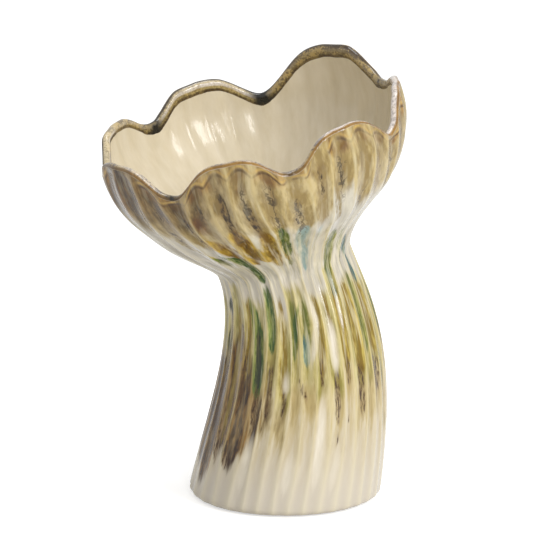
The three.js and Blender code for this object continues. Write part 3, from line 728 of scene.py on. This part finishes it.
# Cream inside, then over the lip its own speckled glaze with gold strips and dark lines, and pale
# strips that are partly painted highlight
def glazeTheLip(add, colour, fields, textures):
    turn, pale, rimDark, reach = fields["turn"], fields["pale"], fields["rimDark"], fields["reach"]
    within = add("ShaderNodeMapRange", {"Value": turn, 1: 0.85, 2: 1.0})
    colour = layGlaze(add, colour, [within], textures["clouds"], 1.0, 1.0, textures["wideStreaks"],
                      glaze["inside"], glaze["insideDeep"])
    place = add("ShaderNodeTexCoord", {}, "Object")
    grains = add("ShaderNodeTexNoise", {"Vector": place, "Scale": 800.0, "Detail": 3.0, "Roughness": 0.65})
    wavy = add("ShaderNodeTexNoise", {"Vector": place, "Scale": 120.0, "Detail": 3.0})
    uneven = add("ShaderNodeMath", {0: wavy, 1: 0.2, 2: turn}, operation="MULTIPLY_ADD")
    # How far past the band's inner edge: 0.1 on the edge itself
    past = add("ShaderNodeMath", {0: uneven, 1: reach}, operation="SUBTRACT")
    onLip = add("ShaderNodeMapRange", {"Value": turn, 1: 0.02, 2: 0.12})
    inReach = add("ShaderNodeMapRange", {"Value": past, 1: 0.08, 2: 0.12, 3: 1.0, 4: 0.0})
    band = [onLip, inReach]
    blotches = add("ShaderNodeMath", {0: wavy, 1: 1.2, 2: grains}, operation="MULTIPLY_ADD")
    mottle = add("ShaderNodeMapRange", {"Value": blotches, 1: 0.98, 2: 1.22})
    colour = layGlaze(add, colour, band, mottle, 1.0, 1.0, mottle, glaze["lipOlive"], glaze["lipBrown"])

    # Pale strip over the lip's top: partly thin glaze, partly painted highlight of the overhead light
    strip = lipStrip(add, turn, lipStrips["pale"])
    paleHighlightStrip = add("ShaderNodeMath", {0: strip, 1: pale}, operation="MULTIPLY")
    flecked = add("ShaderNodeMapRange", {"Value": grains, 1: 0.42, 2: 0.62, 3: 1.0, 4: 0.55})
    paleHighlightShare = add("ShaderNodeMath", {0: paleHighlightStrip, 1: flecked}, operation="MULTIPLY")
    palest = add(
        "ShaderNodeMix", {0: rimDark, 6: hexColour(glaze["lipPaleAndHighlight"]), 7: hexColour(glaze["lipCream"])}, 2,
        data_type="RGBA")
    colour = add("ShaderNodeMix", {0: paleHighlightShare, 6: colour, 7: palest}, 2, data_type="RGBA")

    # On the back lobes the band's inner half is gold, and a painted highlight, a narrow pale line, runs
    # down its middle
    golden = add("ShaderNodeMapRange", {"Value": pale, 3: 0.35, 4: 1.0})
    goldStrip = lipStrip(add, turn, lipStrips["gold"])
    colour = layGlaze(add, colour, [goldStrip, *band, rimDark, golden], wavy, 0.3, 1.0, grains,
                      glaze["lipGold"], glaze["lipBronze"])
    # Painted highlight: a narrow pale line for the overhead light on the lip's rounded inner edge
    shine = lipStrip(add, turn, lipStrips["shine"])
    colour = layGlaze(add, colour, [shine, pale, rimDark], wavy, 0.3, 1.0, grains,
                      glaze["lipPaintedHighlight"], glaze["lipPaintedHighlightDeep"])
    innerLine = lipStrip(add, past, lipStrips["innerLine"])
    colour = layGlaze(add, colour, [innerLine], wavy, 0.6, 1.0, grains, glaze["lipLine"], glaze["lipDark"])

    # The outer line lies nearer the top of the lip on the back lobes, where the glaze reaches further
    lineTurn = add("ShaderNodeMath", {0: reach, 1: -1.385, 2: turn}, operation="MULTIPLY_ADD")
    outerLine = lipStrip(add, lineTurn, lipStrips["outerLine"])
    lineShare = add("ShaderNodeMath", {0: outerLine, 1: 0.9}, operation="MULTIPLY")
    frontTone = add(
        "ShaderNodeMix", {0: wavy, 6: hexColour(glaze["lipOchre"]), 7: hexColour(glaze["lipUmber"])}, 2,
        data_type="RGBA")
    lineTone = add(
        "ShaderNodeMix", {0: rimDark, 6: frontTone, 7: hexColour(glaze["lipDark"])}, 2, data_type="RGBA")
    colour = add("ShaderNodeMix", {0: lineShare, 6: colour, 7: lineTone}, 2, data_type="RGBA")
    return layGlaze(add, colour, [*band, fields["pool"]], wavy, 0.6, 1.2, grains, glaze["pool"],
                    glaze["poolDeep"])


def makeGlaze():
    material, add = startShading("materials", "reactive_glazed_stoneware")
    wall = add("ShaderNodeAttribute", {}, "Vector", attribute_name="wallCoord")
    names = {"groove", "turn", "station", "shoulder", "pale", "rimDark", "reach", "pool"}
    names.update(layer[0] for layer in glazeLayers)
    fields = {name: add("ShaderNodeAttribute", {}, "Fac", attribute_name=name)
              for name in sorted(names)}
    groove = fields["groove"]
    textures = makeTextures(add, wall, groove)
    colour = add(
        "ShaderNodeMix", {0: groove, 6: hexColour(glaze["thinCream"]), 7: hexColour(glaze["deepCream"])}, 2,
        data_type="RGBA")
    for name, texture, least, most, depth, thin, deep in glazeLayers:
        colour = layGlaze(add, colour, [fields[name]], textures[texture], least, most, textures[depth],
                          thin, deep, name not in softMasks)
    archPlace = add(
        "ShaderNodeMath", {0: groove, 1: -archHang, 2: fields["station"]}, operation="MULTIPLY_ADD")
    for start, least, thin, deep in lipArches:
        arch = lipStrip(add, archPlace, (start, start + 0.01, start + 0.013, start + 0.024))
        colour = layGlaze(add, colour, [arch, fields["shoulder"]], textures["patches"], least, 1.0,
                          textures["streaks"], thin, deep)
    colour = glazeTheLip(add, colour, fields, textures)

    bump = add("ShaderNodeBump", {"Strength": 0.5, "Distance": 0.0006, "Height": textures["wideStreaks"]})
    satin = add(
        "ShaderNodeMapRange",
        {"Value": fields["turn"], 1: 0.9, 2: 1.2, 3: glaze["roughness"], 4: glaze["insideRoughness"]})
    shader = add(
        "ShaderNodeBsdfPrincipled",
        {"Base Color": colour, "Roughness": satin, "IOR": glaze["ior"], "Normal": bump})
    add("ShaderNodeOutputMaterial", {"Surface": shader}, None)
    return material


# Unglazed fired clay: a dry, sanded foot ring. Pale buff, rough, with fine darker grog.
def makeClay():
    material, add = startShading("materials", "unglazed_fired_clay")
    place = add("ShaderNodeTexCoord", {}, "Object")
    grog = add("ShaderNodeTexNoise", {"Vector": place, "Scale": 900.0, "Detail": 3.0})
    spread = add("ShaderNodeMapRange", {"Value": grog, 1: 0.4, 2: 0.7})
    colour = add(
        "ShaderNodeMix", {0: spread, 6: hexColour("#CDBFA6"), 7: hexColour("#A89878")}, 2, data_type="RGBA")
    bump = add("ShaderNodeBump", {"Strength": 0.4, "Distance": 0.0003, "Height": grog})
    shader = add(
        "ShaderNodeBsdfPrincipled", {"Base Color": colour, "Roughness": 0.85, "IOR": 1.5, "Normal": bump})
    add("ShaderNodeOutputMaterial", {"Surface": shader}, None)
    return material


# Wool felt: pressed fibres, so it is matte with a soft edge and a faint mottle.
def makeFelt():
    material, add = startShading("materials", "pressed_wool_felt")
    place = add("ShaderNodeTexCoord", {}, "Object")
    fibres = add("ShaderNodeTexNoise", {"Vector": place, "Scale": 2500.0, "Detail": 4.0, "Distortion": 1.5})
    colour = add(
        "ShaderNodeMix", {0: fibres, 6: hexColour("#C2B8A4"), 7: hexColour("#DAD2C2")}, 2, data_type="RGBA")
    bump = add("ShaderNodeBump", {"Strength": 0.6, "Distance": 0.0002, "Height": fibres})
    shader = add(
        "ShaderNodeBsdfPrincipled",
        {"Base Color": colour, "Roughness": 0.95, "Sheen Weight": 0.3, "Normal": bump})
    add("ShaderNodeOutputMaterial", {"Surface": shader}, None)
    return material


glazeMaterial = makeGlaze()
clayMaterial = makeClay()
feltMaterial = makeFelt()
print("vase: materials made")

# What the flute tree cuts into the smooth wall. The variation is how unequal the flutes' depths are,
# and the wobble is in metres.
fluting = {"Flutes per lobe": float(flutesPerLobe), "Flute depth": 1.0, "Ridge softness": 0.22,
           "Depth variation": 0.4, "Hand wobble": 0.0004, "Seed": 4.0}


def makeFluteTree():
    tree, add, given = startTree("cut_flutes", fluting)
    phase, glazed, turn = (add("GeometryNodeInputNamedAttribute", {"Name": name}, data_type="FLOAT")
                           for name in ("phase", "glazed", "turn"))
    flute = add("GeometryNodeInputNamedAttribute", {"Name": "flute"}, data_type="FLOAT_VECTOR")
    # |cos| of half a turn for each flute, rounded at its ridge: 0 on a ridge, 1 in the hollow
    flutes = add("ShaderNodeMath", {0: phase, 1: given["Flutes per lobe"]}, operation="MULTIPLY")
    halfTurns = add("ShaderNodeMath", {0: flutes, 1: math.pi}, operation="MULTIPLY")
    wave = add("ShaderNodeMath", {0: halfTurns}, operation="COSINE")
    soft = given["Ridge softness"]
    softSquare = add("ShaderNodeMath", {0: soft, 1: soft}, operation="MULTIPLY")
    waveSquare = add("ShaderNodeMath", {0: wave, 1: wave, 2: softSquare}, operation="MULTIPLY_ADD")
    fullSquare = add("ShaderNodeMath", {0: softSquare, 1: 1.0}, operation="ADD")
    waveRoot = add("ShaderNodeMath", {0: waveSquare}, operation="SQRT")
    fullRoot = add("ShaderNodeMath", {0: fullSquare}, operation="SQRT")
    groove = add("ShaderNodeMapRange", {"Value": waveRoot, 1: soft, 2: fullRoot})
    stored = add(
        "GeometryNodeStoreNamedAttribute", {"Geometry": given["Geometry"], "Name": "groove", "Value": groove},
        data_type="FLOAT", domain="POINT")
    place = add("GeometryNodeInputPosition")
    stretched = add("ShaderNodeVectorMath", {0: place, 1: (60, 60, 14)}, operation="MULTIPLY")
    uneven = add(
        "ShaderNodeTexNoise", {"Vector": stretched, "W": given["Seed"], "Scale": 1.0, "Detail": 1.0},
        noise_dimensions="4D")
    outsideOnly = add(
        "ShaderNodeMapRange", {"Value": turn, 1: 0.0, 2: 1.0, 3: given["Depth variation"], 4: 0.0})
    shallow = add("ShaderNodeMapRange", {"Value": uneven, 1: 0.35, 2: 0.65, 3: 0.0, 4: outsideOnly})
    kept = add("ShaderNodeMath", {0: 1.0, 1: shallow}, operation="SUBTRACT")
    cutDepth = groove
    for factor in (given["Flute depth"], kept):
        cutDepth = add("ShaderNodeMath", {0: cutDepth, 1: factor}, operation="MULTIPLY")
    cut = add("ShaderNodeVectorMath", {0: flute, "Scale": cutDepth}, operation="SCALE")
    fluted = add("GeometryNodeSetPosition", {"Geometry": stored, "Offset": cut})
    # The model was finished by hand, so the glazed wall is nowhere quite even
    wobble = add(
        "ShaderNodeTexNoise", {"Vector": place, "W": given["Seed"], "Scale": 38.0, "Detail": 2.0},
        noise_dimensions="4D")
    inward = wobble
    for factor in (given["Hand wobble"], glazed, -1.0):
        inward = add("ShaderNodeMath", {0: inward, 1: factor}, operation="MULTIPLY")
    normal = add("GeometryNodeInputNormal")
    sink = add("ShaderNodeVectorMath", {0: normal, "Scale": inward}, operation="SCALE")
    handMade = add("GeometryNodeSetPosition", {"Geometry": fluted, "Offset": sink})
    whole = add("GeometryNodeRealizeInstances", {"Geometry": handMade})
    glazedWall = add("GeometryNodeSetMaterial", {"Geometry": whole, "Material": glazeMaterial})
    bare = add("FunctionNodeCompare", {0: glazed, 1: 0.3}, data_type="FLOAT", operation="LESS_THAN")
    clayFooted = add(
        "GeometryNodeSetMaterial", {"Geometry": glazedWall, "Selection": bare, "Material": clayMaterial})
    add("NodeGroupOutput", {"Geometry": clayFooted}, None)
    return tree


# Runs a tree over a mesh with its inputs set, and keeps the result as a plain mesh
def applyTree(name, mesh, tree, settings):
    piece = addObject(name, mesh)
    modifier = piece.modifiers.new("tree", "NODES")
    modifier.node_group = tree
    for item in tree.interface.items_tree:
        if item.in_out == "INPUT" and item.name in settings:
            modifier[item.identifier] = settings[item.name]
    evaluated = piece.evaluated_get(bpy.context.evaluated_depsgraph_get())
    finished = bpy.data.meshes.new_from_object(evaluated)
    piece.modifiers.remove(modifier)
    piece.data = finished
    finished.name = name
    finished.polygons.foreach_set("use_smooth", [True] * len(finished.polygons))
    print("vase:", name, "has", sum(len(face.vertices) - 2 for face in finished.polygons), "triangles")
    return piece


stonewareWall = applyTree("stoneware_wall", wallMesh, makeFluteTree(), fluting)
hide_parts("vase_body")
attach(stonewareWall, "root")

feltPads = {"Count": len(padBoxes), "Seat radius": padSeatRadius, "Pad radius": 0.0039,
            "Pad height": clayFoot, "First angle": math.radians(45)}


def makePadTree():
    tree, add, given = startTree("set_pads", feltPads)
    ring = add("GeometryNodeMeshCircle", {"Vertices": given["Count"], "Radius": given["Seat radius"]})
    turned = add("ShaderNodeCombineXYZ", {"Z": given["First angle"]})
    lift = add("ShaderNodeMath", {0: given["Pad height"], 1: 0.5}, operation="MULTIPLY")
    place = add("ShaderNodeCombineXYZ", {"X": footX, "Y": footY, "Z": lift})
    seats = add("GeometryNodeTransform", {"Geometry": ring, "Translation": place, "Rotation": turned})
    disc = add(
        "GeometryNodeMeshCylinder",
        {"Vertices": 48, "Side Segments": 3, "Fill Segments": 3, "Radius": given["Pad radius"],
         "Depth": given["Pad height"]})
    pads = add("GeometryNodeInstanceOnPoints", {"Points": seats, "Instance": disc})
    whole = add("GeometryNodeRealizeInstances", {"Geometry": pads})
    felted = add("GeometryNodeSetMaterial", {"Geometry": whole, "Material": feltMaterial})
    add("NodeGroupOutput", {"Geometry": felted}, None)
    return tree


padPiece = applyTree("felt_pads", bpy.data.meshes.new("pad_seed"), makePadTree(), feltPads)
padPiece.data.polygons.foreach_set("use_smooth", [False] * len(padPiece.data.polygons))
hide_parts("foot_pad_1", "foot_pad_2", "foot_pad_3", "foot_pad_4")
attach(padPiece, "root")

# Studio: a pale floor that stays white to the camera and keeps the shadow, and soft window light
studio = {"floorSize": 14.0, "worldStrength": 0.45, "floorGlow": 0.6, "mirroredGlow": 0.45}


def makeFloor():
    half = studio["floorSize"] / 2
    mesh = bpy.data.meshes.new("studio_floor")
    corners = [(-half, -half, 0), (half, -half, 0), (half, half, 0), (-half, half, 0)]
    mesh.from_pydata(corners, [], [(0, 1, 2, 3)])
    floor = addObject("studio_floor", mesh)
    material, add = startShading("materials", "white_studio_sweep")
    paper = add("ShaderNodeBsdfDiffuse", {"Color": hexColour("#E9E9E9")})
    glow = add("ShaderNodeEmission", {"Strength": studio["floorGlow"]})
    path = add("ShaderNodeLightPath", {}, None)
    direct = add(
        "ShaderNodeMath", {0: path["Is Camera Ray"], 1: path["Is Transmission Ray"]}, operation="MAXIMUM")
    # The glaze mirrors a dimmer floor than the camera sees
    seen = add(
        "ShaderNodeMath", {0: path["Is Glossy Ray"], 1: studio["mirroredGlow"], 2: direct},
        operation="MULTIPLY_ADD", use_clamp=True)
    both = add("ShaderNodeAddShader", {0: paper, 1: glow})
    chosen = add("ShaderNodeMixShader", {0: seen, 1: paper, 2: both})
    add("ShaderNodeOutputMaterial", {"Surface": chosen}, None)
    mesh.materials.append(material)


def makeWorld():
    bpy.context.scene.world, add = startShading("worlds", "studio_world")
    path = add("ShaderNodeLightPath", {}, None)
    direct = add("ShaderNodeMath", {0: path["Is Camera Ray"], 1: path["Is Glossy Ray"]}, operation="MAXIMUM")
    seen = add("ShaderNodeMath", {0: direct, 1: path["Is Transmission Ray"]}, operation="MAXIMUM")
    room = add("ShaderNodeBackground", {"Color": (1, 1, 1, 1), "Strength": studio["worldStrength"]})
    white = add("ShaderNodeBackground", {"Color": (1, 1, 1, 1), "Strength": 1.0})
    chosen = add("ShaderNodeMixShader", {0: seen, 1: room, 2: white})
    add("ShaderNodeOutputWorld", {"Surface": chosen}, None)


# name, place and aim in metres, width and height in metres, watts
softBoxes = [
    ("window_right", (1.3, -1.3, 1.0), (0, 0, 0.15), 0.6, 1.1, 21.5),
    ("front_strip", (0.45, -1.9, 1.15), (0, 0, 0.18), 0.08, 0.9, 7),
    ("window_left", (-1.5, -0.5, 0.7), (0, 0, 0.15), 0.14, 1.0, 0.7),
    ("overhead", (0.1, 0.1, 1.9), (0, 0, 0.15), 0.9, 0.6, 12.5),
]


def makeLights():
    for name, place, aim, width, height, power in softBoxes:
        data = bpy.data.lights.new(name, "AREA")
        data.shape = "RECTANGLE"
        data.size = width
        data.size_y = height
        data.energy = power
        light = addObject(name, data)
        light.location = place
        light.rotation_euler = (Vector(aim) - Vector(place)).to_track_quat("-Z", "Y").to_euler()


# The photograph was taken with a long lens, a little above the rim. Lengths in metres, degrees.
cameraView = {"lookX": footX - 0.00535, "lookZ": clayFoot + 0.12928, "distance": 2.2, "pitch": 13.3,
              "lens": 249.1}


def makeCamera():
    data = bpy.data.cameras.new("camera")
    data.lens = cameraView["lens"]
    data.sensor_width = 36
    data.sensor_fit = "HORIZONTAL"
    camera = addObject("camera", data)
    pitch = math.radians(cameraView["pitch"])
    camera.location = (cameraView["lookX"], footY - cameraView["distance"] * math.cos(pitch),
                       cameraView["lookZ"] + cameraView["distance"] * math.sin(pitch))
    camera.rotation_euler = (math.pi / 2 - pitch, 0, 0)
    bpy.context.scene.camera = camera


makeFloor()
makeWorld()
makeLights()
makeCamera()
bpy.context.scene.view_settings.view_transform = "Standard"
print("vase: studio ready")
